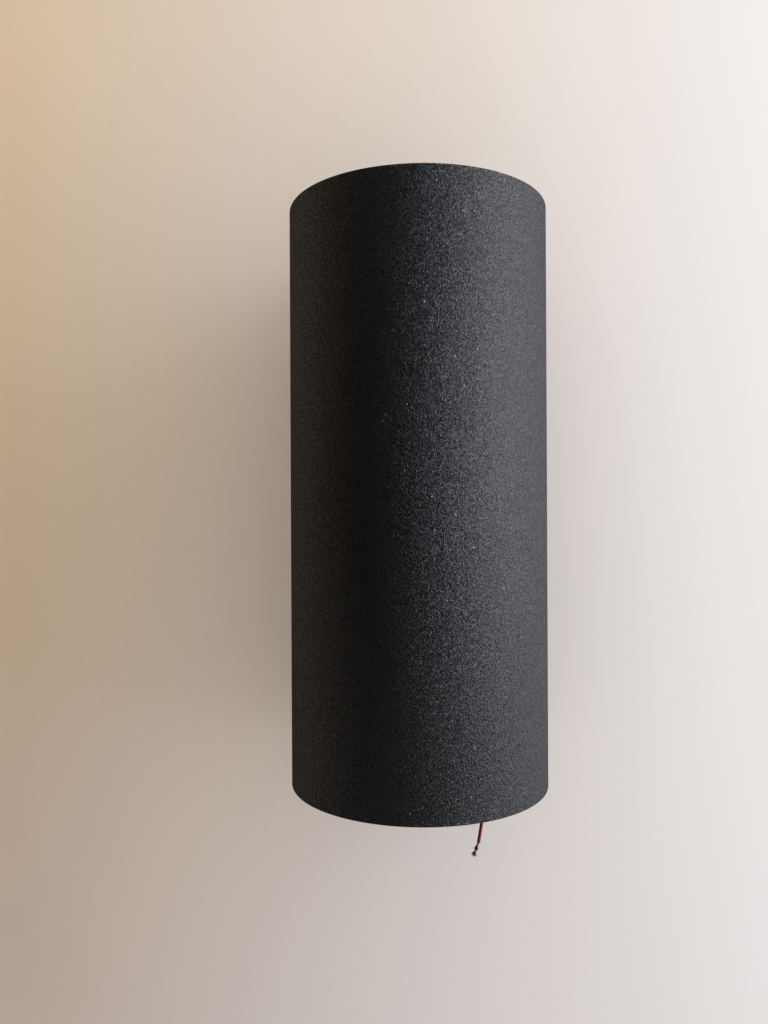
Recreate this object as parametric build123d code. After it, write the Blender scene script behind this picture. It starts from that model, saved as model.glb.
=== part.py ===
from build123d import *
import os
from math import cos, pi, radians, sqrt, tan

# A tube wall light: one open black tube on a die-cast back housing, hung on a folded wall bracket by
# two shouldered studs, with a twist-and-lock lamp facing up and another facing down inside the tube.
# Frame: the wall is the plane Y = 0 and +Y points into it, +Z is up, and the origin is the centre of
# the four wall screws. All sizes are in millimetres.

# ---- Driving dimensions ----

# Tube
tube_diameter = 90.0
tube_wall = 2.0
tube_length = 200.0
rim_chamfer = 0.3
wall_gap = 12.0              # from the wall to the back of the tube

# Back housing and its foam seal
housing_width = 66.0
housing_height = 130.0
housing_wall = 2.5
housing_corner = 6.0
seal_thickness = 2.0
seat_cable_hole = 20.0

# Wall bracket
bracket_sheet = 1.5
bracket_corner = 4.0
bracket_bend = 0.6           # inside radius of its folds
pad_width = 32.0             # the raised strip that the studs hang on
bracket_side_clearance = 3.0
bracket_end_clearance = 1.0
lift_travel = 10.0           # how far the fixture lifts up its keyholes
wall_screw_pitch = 80.0
wall_screw_hole = 4.6
bracket_cable_hole = 20.0
tab_depth = 10.0
tab_height = 16.0

# Hanging studs
stud_spacing = 76.0
stud_neck = 4.0
stud_head = 8.0
stud_head_thickness = 1.8
stud_head_play = 0.4         # between head and pad
stud_collar = 9.0
stud_collar_thickness = 1.0
stud_collar_play = 0.8       # between collar and pad
stud_boss = 12.0
stud_boss_height = 0.2
stud_tip = 1.5               # how far the shank passes its nut
keyhole_clearance = 0.3
keyhole_entry_clearance = 0.6

# Screws, nuts and washers
hole_clearance = 0.2         # radial, where a screw passes through
thread_clearance = 0.05      # radial, where a screw is cut into metal
m4 = 4.0
m4_nut_flats = 7.0
m4_nut_height = 3.2
m4_washer = 9.0
m4_washer_thickness = 0.8
m4_head = 7.0
m4_head_height = 2.4
m3 = 3.0
m3_nut_flats = 5.5
m3_nut_height = 2.4
m3_head = 5.5
m3_head_height = 2.0
lock_screw_length = 5.0
lock_screw_gap = 0.3         # between the screw's tip and its tab
screw_tip = 0.6              # how far a screw's end passes its nut
drive_length = 0.75          # slots and crosses, as shares of the head's diameter and height
drive_width = 0.15
drive_depth = 0.45
lock_screw_height = -20.0
lock_boss = 9.0
lock_boss_gap = 1.0
lock_boss_inset = 0.5        # from the housing's open edge

# Holder brackets
shelf_gap = 37.4             # wiring bay between the two shelves
shelf_sheet = 1.5
shelf_bend = 0.6             # inside radius of its fold
leg_width = 18.0
leg_margin = 9.0             # past the stud
paddle_margin = 2.0          # past the lampholder's ends and the terminal block's front
paddle_back_margin = 1.5     # past the earth lug
paddle_corner = 6.0
lead_hole = 4.4

# Lampholders
holder_length = 38.0
holder_width = 20.0
holder_height = 16.0
holder_face_gap = 0.3        # between holder and lamp base
pin_spacing = 10.0
pin_twist = 25.0             # degrees from entry to lock
socket_entry_clearance = 0.75
socket_slot_clearance = 0.35
socket_lip = 3.5
holder_edge = 0.6
holder_screw_margin = 4.5    # from the holder's end to its screw
holder_counterbore_depth = 2.4
contact_gap = 0.3            # between pin and contact
contact_thickness = 0.8
contact_diameter = 5.8
contact_tail = 2.0

# Lamps
lamp_diameter = 50.0
lamp_length = 48.5           # rim to base, without the pins
lamp_base_diameter = 24.0
lamp_base_wall = 1.8
lamp_base_edge = 0.8
lamp_base_neck = 7.0
lamp_taper_shift = 0.7       # how much higher the taper lies inside than outside
lamp_shoulder_rise = 3.0
lamp_shoulder_diameter = 29.0
lamp_shoulder_height = 20.0
lamp_shell_start = 11.0
lamp_shell_wall = 1.8
shell_flare = 1.2            # how much the shell widens up to the LED board
shell_belly_below = 4.0      # where it bulges out, below and above the board's seat
shell_belly_above = 3.0
board_wall_height = 4.0      # of the straight wall round the board
lamp_rim_width = 1.8
lamp_rim_height = 5.0
lamp_edge = 0.6
lamp_fit = 0.05
board_height = 25.5
board_diameter = 34.0
board_thickness = 1.6
led_side = 13.5
led_thickness = 1.0
phosphor_diameter = 9.0
phosphor_height = 0.4
lens_seat_depth = 3.5        # below the rim
lens_flange_thickness = 1.6
lens_ledge = 1.2
lens_ledge_height = 1.5
lens_led_gap = 0.7
lens_foot_diameter = 13.0
lens_recess_diameter = 10.0
lens_recess_depth = 3.8
lens_recess_cone = 0.8       # how much the recess's roof rises to its middle
lens_side_gap = 1.4          # from the cone to the shell's ledge
lens_collar_height = 1.6     # straight part under the flange
lens_edge = 0.4
rib_count = 24
rib_slot_width = 1.4
rib_slot_depth = 1.1
rib_start_gap = 4.0          # from the shell's lower end to the slots
rib_rim_gap = 2.5            # from the slots to the shell's rim
pin_head = 4.9
pin_neck = 3.1
pin_length = 7.0
pin_head_height = 2.4
pin_chamfer = 0.6
pin_root = 3.5
pin_boss_wall = 1.2
pin_boss_cap = 0.6
driver_side_gap = 1.2        # between the driver board's edges and the base
driver_top_gap = 1.1         # under the LED board
driver_thickness = 1.6
driver_gap = 0.3             # above the bosses that hold the pins
driver_part_drop = 1.0       # from the board's top to what is soldered on it
solder_sink = 0.1
capacitor_inset = 2.0
capacitor_diameter = 6.4
capacitor_length = 10.0
choke_side = 8.0
choke_depth = 6.0

# Terminal block
pole_pitch = 10.0
pole_count = 3
block_depth = 17.0
block_base_height = 9.0
block_height = 14.0
block_corner = 1.0
block_back = 8.0             # from the tube's axis to the block
wire_height = 5.0            # of the wire bores above the shelf
insert_diameter = 5.2
insert_bore = 3.8
insert_inset = 0.8
insert_fit = 0.05
terminal_screw = 2.6
terminal_screw_offset = 4.2
terminal_screw_sink = 0.6
terminal_bite = 0.6          # how far a terminal screw reaches into its bore
tower_diameter = 7.4
block_screw = 2.5
block_screw_gap = 0.2        # between a fixing screw's head and the inserts beside it
block_screw_head_height = 1.6
block_screw_sink = 5.0
block_screw_tip = 0.8        # how far it passes the shelf

# Earth points
earth_screw_side = 14.0
earth_screw_back = 15.5      # from the tube's axis towards the wall
lug_diameter = 8.0
lug_thickness = 0.8
lug_barrel = 2.6
lug_barrel_length = 4.5
bracket_earth_collar = 7.0
bracket_earth_collar_height = 2.0
bracket_earth_tip_gap = 0.4  # between the screw's tip and the wall
bracket_earth_gap = 0.5      # between its washer and the raised strip

# Grommets
grommet_lip = 2.0            # radial
grommet_lip_thickness = 1.2
bracket_grommet_bore = 10.0
tube_cable_hole = 14.0
tube_grommet_bore = 9.0

# Leads
lead_diameter = 1.3
earth_lead_diameter = 1.6
lead_pair_pitch = 1.5        # two leads side by side in one pole
loop_height = 11.8           # of the loops in front of the terminal block
loop_wall_gap = 2.3          # from the outer loops' tips to the tube's bore
loop_turn = 30.0             # degrees that a loop's straight sides lean from the vertical
lead_in = 3.0                # length of lead inside a pole

# How far each cut runs past the faces that it opens
spare = 1.0
same_place = 0.01            # within which two corners are one

# ---- Worked out from the driving dimensions ----

tube_radius = tube_diameter / 2
bore_radius = tube_radius - tube_wall
axis_y = -(wall_gap + tube_radius)

seat_back_y = -(wall_gap - housing_wall)
pad_front_y = seat_back_y + stud_boss_height + stud_collar_thickness + stud_collar_play
pad_back_y = pad_front_y + bracket_sheet
bracket_half_width = housing_width / 2 - housing_wall - bracket_side_clearance
wall_screw_x = (pad_width / 2 + bracket_half_width - bracket_sheet) / 2
bracket_top = housing_height / 2 - housing_wall - bracket_end_clearance
bracket_bottom = -(bracket_top - lift_travel)
stud_z = stud_spacing / 2
lock_screw_y = -(seal_thickness + lock_boss / 2 + lock_boss_inset)
stud_shank = m4
bracket_earth_x = -(pad_width / 2 + bracket_earth_gap + m4_washer / 2)

leg_back_y = axis_y + sqrt(bore_radius**2 - (leg_width / 2) ** 2)
leg_front_y = leg_back_y - shelf_sheet
shelf_inner_z = shelf_gap / 2
seat_z = shelf_inner_z + shelf_sheet
lamp_base_z = seat_z + holder_height + holder_face_gap
shelf_top_z = -shelf_inner_z          # the lower shelf's face in the wiring bay
wire_z = shelf_top_z + wire_height
block_front_y = axis_y - block_back - block_depth
pocket_floor = holder_height + holder_face_gap - pin_length - contact_gap - contact_thickness
holder_screw_spacing = holder_length - 2 * holder_screw_margin
paddle_width = holder_length + 2 * paddle_margin
paddle_back = earth_screw_back + lug_diameter / 2 + paddle_back_margin
paddle_front = block_back + block_depth + paddle_margin
rib_slot_start = lamp_shell_start + rib_start_gap
rib_slot_end = lamp_length - lamp_rim_height - rib_rim_gap
driver_low = pin_root + pin_boss_cap + driver_gap
driver_height = board_height - driver_top_gap - driver_low
driver_width = lamp_base_diameter - 2 * (lamp_base_wall + driver_side_gap)
block_screw_head = pole_pitch - insert_diameter - 2 * block_screw_gap


# ---- Helpers ----

def slab(outline, back_y, front_y):
    """An outline drawn in X and Z, as a solid between two depths from the wall."""
    return extrude(Plane.XZ.offset(-back_y) * outline, back_y - front_y)


def rod_y(radius, x, z, back_y, front_y):
    return slab(Pos(x, z) * Circle(radius), back_y, front_y)


def rod_x(radius, y, z, start_x, end_x):
    return extrude(Plane.YZ.offset(start_x) * (Pos(y, z) * Circle(radius)), end_x - start_x)


def rod_z(radius, x, y, low_z, high_z):
    return extrude(Pos(x, y, low_z) * Circle(radius), high_z - low_z)


def hexagon(flats):
    return RegularPolygon(flats / sqrt(3), 6)


def mirrored(corners):
    return [(-x, y) for x, y in corners]


def rounded(face, corners, radius):
    """A flat outline with its corners at the given points rounded."""
    places = [Vector(*corner) for corner in corners]
    chosen = [v for v in face.vertices()
              if min((v.center() - place).length for place in places) < same_place]
    return fillet(chosen, radius)


def slotted(head):
    """The outline of a screwdriver slot."""
    return Rectangle(head * drive_length, head * drive_width)


def crossed(head):
    return slotted(head) + Rectangle(head * drive_width, head * drive_length)


def turned(*outline):
    """A solid of revolution about Z, from points of radius and height."""
    return revolve(make_face(Plane.XZ * Polyline(*outline, close=True)), Axis.Z)


def tube_core(radius):
    """The full-length cylinder of the given radius on the tube's axis."""
    return Pos(0, axis_y, 0) * Cylinder(radius, tube_length)


def below(part):
    """The lower twin of a piece that faces up."""
    return mirror(part, about=Plane.XY)


def save(node, *solids):
    shape = solids[0] if len(solids) == 1 else Compound(children=list(solids))
    export_step(shape, f"parts/{node}.step")


# ---- Wall bracket, fixed to the wall ----

def wall_bracket():
    half_pad = pad_width / 2
    edge = bracket_half_width
    sheet = bracket_sheet
    hat = Polyline(
        (-edge, 0), (-edge, -sheet), (-half_pad, -sheet), (-half_pad, pad_front_y),
        (half_pad, pad_front_y), (half_pad, -sheet), (edge, -sheet), (edge, 0),
        (half_pad - sheet, 0), (half_pad - sheet, pad_back_y),
        (-half_pad + sheet, pad_back_y), (-half_pad + sheet, 0), close=True,
    )
    inside = [(half_pad, -sheet), (half_pad - sheet, pad_back_y)]
    outside = [(half_pad, pad_front_y), (half_pad - sheet, 0)]
    profile = rounded(make_face(hat), inside + mirrored(inside), bracket_bend)
    profile = rounded(profile, outside + mirrored(outside), bracket_bend + sheet)
    height = bracket_top - bracket_bottom
    middle = (bracket_top + bracket_bottom) / 2
    body = extrude(Pos(0, 0, bracket_bottom) * profile, height)
    plate = Pos(0, middle) * RectangleRounded(2 * edge, height, bracket_corner)
    body &= slab(plate, 0, pad_front_y)
    for side in (-1, 1):
        tab = Pos(side * (edge - sheet / 2), lock_screw_height) * Rectangle(sheet, tab_height)
        body += slab(tab, 0, -tab_depth)
        for end in (-1, 1):
            hole = rod_y(wall_screw_hole / 2, side * wall_screw_x, end * wall_screw_pitch / 2,
                         spare, pad_front_y)
            body -= hole
    slot_radius = stud_neck / 2 + keyhole_clearance
    entry_radius = stud_head / 2 + keyhole_entry_clearance
    for end in (-1, 1):
        rest_z = end * stud_z
        slot = Pos(0, rest_z + lift_travel / 2) * Rectangle(2 * slot_radius, lift_travel)
        body -= slab(slot, spare, pad_front_y - spare)
        body -= rod_y(slot_radius, 0, rest_z, spare, pad_front_y - spare)
        body -= rod_y(entry_radius, 0, rest_z + lift_travel, spare, pad_front_y - spare)
    body -= rod_y(bracket_cable_hole / 2, 0, 0, spare, pad_front_y - spare)
    collar_front = -sheet - bracket_earth_collar_height
    body += rod_y(bracket_earth_collar / 2, bracket_earth_x, 0, 0, collar_front)
    tapped = rod_y(m4 / 2 + thread_clearance, bracket_earth_x, 0, spare, collar_front - spare)
    return body - tapped


def bracket_grommet():
    neck = bracket_cable_hole / 2
    outer = neck + grommet_lip
    rear = pad_back_y + grommet_lip_thickness
    front = pad_front_y - grommet_lip_thickness
    body = rod_y(neck, 0, 0, rear, front)
    body += rod_y(outer, 0, 0, rear, pad_back_y)
    body += rod_y(outer, 0, 0, pad_front_y, front)
    return body - rod_y(bracket_grommet_bore / 2, 0, 0, rear + spare, front - spare)


def pan_screw(shank, head, head_height, x, z, head_back_y, tip_y):
    """A pan head screw along Y, with its head on the side away from the wall."""
    head_front_y = head_back_y - head_height
    body = rod_y(head / 2, x, z, head_back_y, head_front_y)
    body += rod_y(shank / 2, x, z, tip_y, head_back_y)
    return body - slab(Pos(x, z) * slotted(head), head_front_y + head_height * drive_depth, head_front_y)


def bracket_earth():
    """The bracket's earth screw and the washer under its head."""
    washer_back = -bracket_sheet - bracket_earth_collar_height
    washer_front = washer_back - m4_washer_thickness
    washer = rod_y(m4_washer / 2, bracket_earth_x, 0, washer_back, washer_front)
    washer -= rod_y(m4 / 2 + hole_clearance, bracket_earth_x, 0, spare, washer_front - spare)
    screw = pan_screw(m4, m4_head, m4_head_height, bracket_earth_x, 0, washer_front,
                      -bracket_earth_tip_gap)
    return screw, washer


# ---- Tube, back housing and seal ----

def tube_body():
    body = Cylinder(tube_radius, tube_length) - Cylinder(bore_radius, tube_length)
    rims = body.edges().filter_by(GeomType.CIRCLE)
    body = Pos(0, axis_y, 0) * chamfer(rims, rim_chamfer)
    body -= rod_y(tube_cable_hole / 2, 0, 0, 0, axis_y)
    for end in (-1, 1):
        body -= rod_y(stud_shank / 2 + hole_clearance, 0, end * stud_z, 0, axis_y)
    return body


def back_housing():
    outline = RectangleRounded(housing_width, housing_height, housing_corner)
    room = RectangleRounded(housing_width - 2 * housing_wall, housing_height - 2 * housing_wall,
                            housing_corner - housing_wall)
    hollow = slab(room, 0, axis_y) - tube_core(tube_radius + housing_wall)
    body = slab(outline, -seal_thickness, axis_y) - hollow
    boss_back_y = seat_back_y + stud_boss_height
    for end in (-1, 1):
        body += rod_y(stud_boss / 2, 0, end * stud_z, boss_back_y, seat_back_y - housing_wall)
    inner_wall = housing_width / 2 - housing_wall
    boss_end = bracket_half_width + lock_boss_gap
    for side in (-1, 1):
        body += rod_x(lock_boss / 2, lock_screw_y, lock_screw_height, side * boss_end,
                      side * inner_wall)
        body -= rod_x(m4 / 2 + thread_clearance, lock_screw_y, lock_screw_height,
                      side * (boss_end - spare), side * (housing_width / 2 + spare))
    body -= tube_core(tube_radius)
    body -= rod_y(seat_cable_hole / 2, 0, 0, 0, axis_y)
    for end in (-1, 1):
        body -= rod_y(stud_shank / 2 + hole_clearance, 0, end * stud_z, 0, axis_y)
    return body


def wall_seal():
    ring = RectangleRounded(housing_width, housing_height, housing_corner)
    ring -= RectangleRounded(housing_width - 2 * housing_wall, housing_height - 2 * housing_wall,
                             housing_corner - housing_wall)
    return slab(ring, 0, -seal_thickness)


def tube_grommet():
    """It grips the tube's own wall, so its lips follow the tube's curve."""
    outer = tube_cable_hole / 2 + grommet_lip
    rear = -wall_gap + grommet_lip_thickness
    front = -wall_gap - tube_wall - 2 * grommet_lip_thickness
    wall = tube_core(tube_radius) - tube_core(bore_radius)
    wall -= rod_y(tube_cable_hole / 2, 0, 0, 0, axis_y)
    body = rod_y(outer, 0, 0, rear, front) - wall
    return body - rod_y(tube_grommet_bore / 2, 0, 0, rear + spare, front - spare)


# ---- Hanging studs and lock screws ----

def nut_y(flats, height, bore, x, z, back_y):
    body = slab(Pos(x, z) * hexagon(flats), back_y, back_y - height)
    return body - rod_y(bore / 2 + thread_clearance, x, z, back_y + spare, back_y - height - spare)


def hang_stud(z):
    boss_y = seat_back_y + stud_boss_height
    collar_y = boss_y + stud_collar_thickness
    head_front_y = pad_back_y + stud_head_play
    tip_y = leg_front_y - m4_washer_thickness - m4_nut_height - stud_tip
    body = rod_y(stud_collar / 2, 0, z, collar_y, boss_y)
    body += rod_y(stud_neck / 2, 0, z, head_front_y, collar_y)
    body += rod_y(stud_head / 2, 0, z, head_front_y + stud_head_thickness, head_front_y)
    return body + rod_y(stud_shank / 2, 0, z, boss_y, tip_y)


def stud_washer(z):
    front_y = leg_front_y - m4_washer_thickness
    body = rod_y(m4_washer / 2, 0, z, leg_front_y, front_y)
    return body - rod_y(m4 / 2 + hole_clearance, 0, z, leg_front_y + spare, front_y - spare)


def lock_screw(side):
    tip = bracket_half_width + lock_screw_gap
    end = tip + lock_screw_length
    body = rod_x(m4 / 2, lock_screw_y, lock_screw_height, side * tip, side * end)
    key = Plane.YZ.offset(side * end) * (Pos(lock_screw_y, lock_screw_height) * hexagon(m4 / 2))
    return body - extrude(key, -side * lock_screw_length / 2)


# ---- Holder brackets and lampholders ----

def holder_bracket():
    """The upper one: a leg up the back of the tube, folded into a shelf that carries the holder."""
    leg_end = stud_z + leg_margin
    shelf_front = axis_y - paddle_front
    paddle_rear = axis_y + paddle_back
    side = Polyline(
        (leg_back_y, shelf_inner_z), (leg_back_y, leg_end), (leg_front_y, leg_end),
        (leg_front_y, seat_z), (paddle_rear, seat_z), (paddle_rear, shelf_inner_z), close=True,
    )
    profile = rounded(make_face(side), [(leg_front_y, seat_z)], shelf_bend)
    profile = rounded(profile, [(leg_back_y, shelf_inner_z)], shelf_bend + shelf_sheet)
    strip = extrude(Plane.YZ.offset(-leg_width / 2) * profile, leg_width)
    middle_y = (paddle_rear + shelf_front) / 2
    paddle = RectangleRounded(paddle_width, paddle_rear - shelf_front, paddle_corner)
    body = strip + extrude(Pos(0, middle_y, shelf_inner_z) * paddle, shelf_sheet)
    body -= rod_y(stud_shank / 2 + hole_clearance, 0, stud_z, 0, leg_front_y - spare)
    low, high = shelf_inner_z - spare, seat_z + spare
    for side in (-1, 1):
        body -= rod_z(m3 / 2 + hole_clearance, side * holder_screw_spacing / 2, axis_y, low, high)
        body -= rod_z(lead_hole / 2, side * pin_spacing / 2, axis_y, low, high)
        body -= rod_z(block_screw / 2 + thread_clearance, side * pole_pitch / 2,
                      block_front_y + block_depth / 2, low, high)
    body -= rod_z(m4 / 2 + hole_clearance, -earth_screw_side, axis_y + earth_screw_back, low, high)
    return body


def lampholder():
    """Stands on its seat at Z = 0 with its face up."""
    radius = pin_spacing / 2
    entry = pin_head / 2 + socket_entry_clearance
    slot = pin_neck / 2 + socket_slot_clearance
    lip_z = holder_height - socket_lip
    body = extrude(SlotOverall(holder_length, holder_width), holder_height)
    for start in (0, 180):
        path = CenterArc((0, 0), radius, start, pin_twist)
        body -= extrude(Pos(0, 0, lip_z) * SlotArc(path, 2 * slot), socket_lip + spare)
        body -= extrude(Pos(0, 0, pocket_floor) * SlotArc(path, 2 * entry), lip_z - pocket_floor)
        x = radius * cos(radians(start))
        body -= rod_z(entry, x, 0, pocket_floor, holder_height + spare)
        body -= rod_z(contact_tail / 2 + thread_clearance, x, 0, -spare, pocket_floor + spare)
    for side in (-1, 1):
        x = side * holder_screw_spacing / 2
        body -= rod_z(m3 / 2 + hole_clearance, x, 0, -spare, holder_height + spare)
        body -= rod_z(m3_head / 2 + hole_clearance, x, 0,
                      holder_height - holder_counterbore_depth, holder_height + spare)
    top = body.faces().sort_by(Axis.Z)[-1].outer_wire().edges()
    return chamfer(top, holder_edge)


def contact(side):
    x = side * pin_spacing / 2
    body = rod_z(contact_diameter / 2, x, 0, pocket_floor, pocket_floor + contact_thickness)
    return body + rod_z(contact_tail / 2, x, 0, 0, pocket_floor)


def holder_screw(side):
    """From the holder's face down through the shelf and its nut."""
    x = side * holder_screw_spacing / 2
    head_z = holder_height - holder_counterbore_depth
    tip_z = -(shelf_sheet + m3_nut_height + screw_tip)
    body = rod_z(m3_head / 2, x, 0, head_z, head_z + m3_head_height)
    body += rod_z(m3 / 2, x, 0, tip_z, head_z)
    top_z = head_z + m3_head_height
    return body - extrude(Pos(x, 0, top_z) * crossed(m3_head), -m3_head_height * drive_depth)


def nut_z(flats, height, bore, x, y, low_z):
    body = extrude(Pos(x, y, low_z) * hexagon(flats), height)
    return body - rod_z(bore / 2 + thread_clearance, x, y, low_z - spare, low_z + height + spare)


# ---- Lamps: base at Z = 0, light towards +Z ----

def lamp_base():
    neck = lamp_base_diameter / 2
    inner_neck = neck - lamp_base_wall
    shoulder = lamp_shoulder_diameter / 2
    rise_z = lamp_base_neck + lamp_shoulder_rise
    body = turned(
        (0, 0), (neck - lamp_base_edge, 0), (neck, lamp_base_edge), (neck, lamp_base_neck),
        (shoulder, rise_z), (shoulder, lamp_shoulder_height),
        (shoulder - lamp_base_wall, lamp_shoulder_height),
        (shoulder - lamp_base_wall, rise_z + lamp_taper_shift),
        (inner_neck, lamp_base_neck + lamp_taper_shift),
        (inner_neck, lamp_base_wall), (0, lamp_base_wall),
    )
    for side in (-1, 1):
        x = side * pin_spacing / 2
        body += rod_z(pin_neck / 2 + pin_boss_wall, x, 0, lamp_base_wall, pin_root + pin_boss_cap)
        body -= rod_z(pin_neck / 2 + lamp_fit, x, 0, -spare, pin_root)
    return body


def lamp_pin(side):
    x = side * pin_spacing / 2
    head_top = -pin_length + pin_head_height
    pin = turned(
        (0, pin_root), (0, -pin_length), (pin_head / 2 - pin_chamfer, -pin_length),
        (pin_head / 2, -pin_length + pin_chamfer), (pin_head / 2, head_top),
        (pin_neck / 2, head_top), (pin_neck / 2, pin_root),
    )
    return Pos(x, 0, 0) * pin


def lamp_shell():
    rim = lamp_diameter / 2
    seat = lamp_shoulder_diameter / 2 + lamp_fit
    board_seat = board_diameter / 2 + lamp_fit
    lens_z = lamp_length - lens_seat_depth
    lens_radius = rim - lamp_rim_width
    ledge = lens_radius - lens_ledge
    neck = seat + lamp_shell_wall
    belly = board_seat + lamp_shell_wall + shell_flare
    rim_low_z = lamp_length - lamp_rim_height
    outside = [
        (neck, lamp_shell_start), (neck + shell_flare, board_height - shell_belly_below),
        (belly, board_height + shell_belly_above), (rim - lamp_edge, rim_low_z - 2 * lamp_edge),
    ]
    body = turned(
        (seat, lamp_shell_start), *outside, (rim, rim_low_z), (rim, lamp_length - lamp_edge),
        (rim - lamp_edge, lamp_length), (lens_radius, lamp_length), (lens_radius, lens_z),
        (ledge, lens_z), (ledge, lens_z - lens_ledge_height),
        (board_seat, board_height + board_wall_height), (board_seat, board_height),
        (seat, board_height),
    )
    core = turned((0, lamp_shell_start), *[(radius - rib_slot_depth, z) for radius, z in outside],
                  (0, rim_low_z - 2 * lamp_edge))
    groove = Plane.XZ.offset(-rib_slot_width / 2) * Rectangle(
        rim + spare, rib_slot_end - rib_slot_start, align=Align.MIN)
    cutter = extrude(Pos(0, 0, rib_slot_start) * groove, rib_slot_width) - core
    for index in range(rib_count):
        body -= Rot(0, 0, index * 360 / rib_count) * cutter
    return body


def led_board():
    body = Cylinder(board_diameter / 2, board_thickness,
                    align=(Align.CENTER, Align.CENTER, Align.MIN))
    return Pos(0, 0, board_height) * body


def lamp_led():
    base_z = board_height + board_thickness
    square = extrude(Pos(0, 0, base_z) * Rectangle(led_side, led_side), led_thickness)
    top_z = base_z + led_thickness
    return square + rod_z(phosphor_diameter / 2, 0, 0, top_z, top_z + phosphor_height)


def lamp_lens():
    flange_z = lamp_length - lens_seat_depth
    flange = lamp_diameter / 2 - lamp_rim_width - lamp_fit * 2
    ledge = flange - lens_ledge
    foot_z = board_height + board_thickness + led_thickness + phosphor_height + lens_led_gap
    cone = ledge - lens_side_gap
    top_z = flange_z + lens_flange_thickness
    recess_z = foot_z + lens_recess_depth
    return turned(
        (0, recess_z), (lens_recess_diameter / 2, recess_z - lens_recess_cone),
        (lens_recess_diameter / 2, foot_z), (lens_foot_diameter / 2, foot_z),
        (cone, flange_z - lens_collar_height), (cone, flange_z), (flange, flange_z),
        (flange, top_z - lens_edge), (flange - lens_edge, top_z), (0, top_z),
    )


def lamp_driver():
    """The driver board on edge inside the base, with its capacitor and choke soldered on."""
    board = Box(driver_width, driver_thickness, driver_height)
    board = Pos(0, 0, driver_low + driver_height / 2) * board
    top_z = driver_low + driver_height - driver_part_drop
    x = driver_width / 2 - capacitor_diameter / 2 - capacitor_inset
    y = driver_thickness / 2 + capacitor_diameter / 2 - solder_sink
    cap = rod_z(capacitor_diameter / 2, x, -y, top_z - capacitor_length, top_z)
    choke_y = (driver_thickness + choke_depth) / 2
    choke = Pos(0, choke_y, top_z - choke_side / 2) * Box(choke_side, choke_depth, choke_side)
    return board + cap + choke


# ---- Terminal block on the lower shelf ----

def pole_x(index):
    return (index - (pole_count - 1) / 2) * pole_pitch


def block_screw_xs():
    return [pole_x(index) + pole_pitch / 2 for index in range(pole_count - 1)]


def terminal_block():
    length = pole_count * pole_pitch
    middle_y = block_front_y + block_depth / 2
    low = shelf_top_z
    base = RectangleRounded(length, block_depth, block_corner)
    body = extrude(Pos(0, middle_y, low) * base, block_base_height)
    for index in range(pole_count):
        x = pole_x(index)
        towers = Pos(x, middle_y) * SlotCenterToCenter(2 * terminal_screw_offset, tower_diameter,
                                                       rotation=90)
        body += extrude(Pos(0, 0, low + block_base_height) * towers,
                        block_height - block_base_height)
    for index in range(pole_count):
        x = pole_x(index)
        body -= rod_y(insert_diameter / 2 + insert_fit, x, wire_z,
                      block_front_y + block_depth + spare, block_front_y - spare)
        for end in (-1, 1):
            y = middle_y + end * terminal_screw_offset
            body -= rod_z(terminal_screw / 2 + hole_clearance, x, y, wire_z,
                          low + block_height + spare)
    for x in block_screw_xs():
        body -= rod_z(block_screw / 2 + hole_clearance, x, middle_y, low - spare,
                      low + block_height)
        body -= rod_z(block_screw_head / 2 + hole_clearance, x, middle_y,
                      low + block_base_height - block_screw_sink, low + block_height)
    return body


def terminal_insert(index):
    x = pole_x(index)
    back = block_front_y + block_depth - insert_inset
    front = block_front_y + insert_inset
    body = rod_y(insert_diameter / 2, x, wire_z, back, front)
    body -= rod_y(insert_bore / 2, x, wire_z, back + spare, front - spare)
    for end in (-1, 1):
        y = (back + front) / 2 + end * terminal_screw_offset
        body -= rod_z(terminal_screw / 2 + thread_clearance, x, y, wire_z,
                      wire_z + insert_diameter)
    return body


def terminal_screw_solid(index, end):
    x = pole_x(index)
    y = block_front_y + block_depth / 2 + end * terminal_screw_offset
    low = wire_z + insert_bore / 2 - terminal_bite
    high = shelf_top_z + block_height - terminal_screw_sink
    body = rod_z(terminal_screw / 2, x, y, low, high)
    return body - extrude(Pos(x, y, high) * slotted(terminal_screw), -terminal_screw * drive_depth)


def block_screw_solid(x):
    y = block_front_y + block_depth / 2
    head_z = shelf_top_z + block_base_height - block_screw_sink
    tip_z = shelf_top_z - shelf_sheet - block_screw_tip
    body = rod_z(block_screw_head / 2, x, y, head_z, head_z + block_screw_head_height)
    body += rod_z(block_screw / 2, x, y, tip_z, head_z)
    top_z = head_z + block_screw_head_height
    slot = Pos(x, y, top_z) * slotted(block_screw_head)
    return body - extrude(slot, -block_screw_head_height * drive_depth)


# ---- Earth point on the lower shelf ----

earth_x = -earth_screw_side
earth_y = axis_y + earth_screw_back
lug_top_z = shelf_top_z + lug_thickness
barrel_y = earth_y - (lug_diameter + lug_barrel) / 2
barrel_top_z = lug_top_z + lug_barrel_length


def earth_lug():
    """A ring with its barrel bent upright beside it."""
    ring = rod_z(lug_diameter / 2, earth_x, earth_y, shelf_top_z, lug_top_z)
    body = ring + rod_z(lug_barrel / 2, earth_x, barrel_y, shelf_top_z, barrel_top_z)
    neck = Pos(earth_x, (barrel_y + earth_y) / 2, (shelf_top_z + lug_top_z) / 2)
    body += neck * Box(lug_barrel, earth_y - barrel_y, lug_thickness)
    return body - rod_z(m4 / 2 + hole_clearance, earth_x, earth_y, shelf_top_z - spare,
                        lug_top_z + spare)


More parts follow.
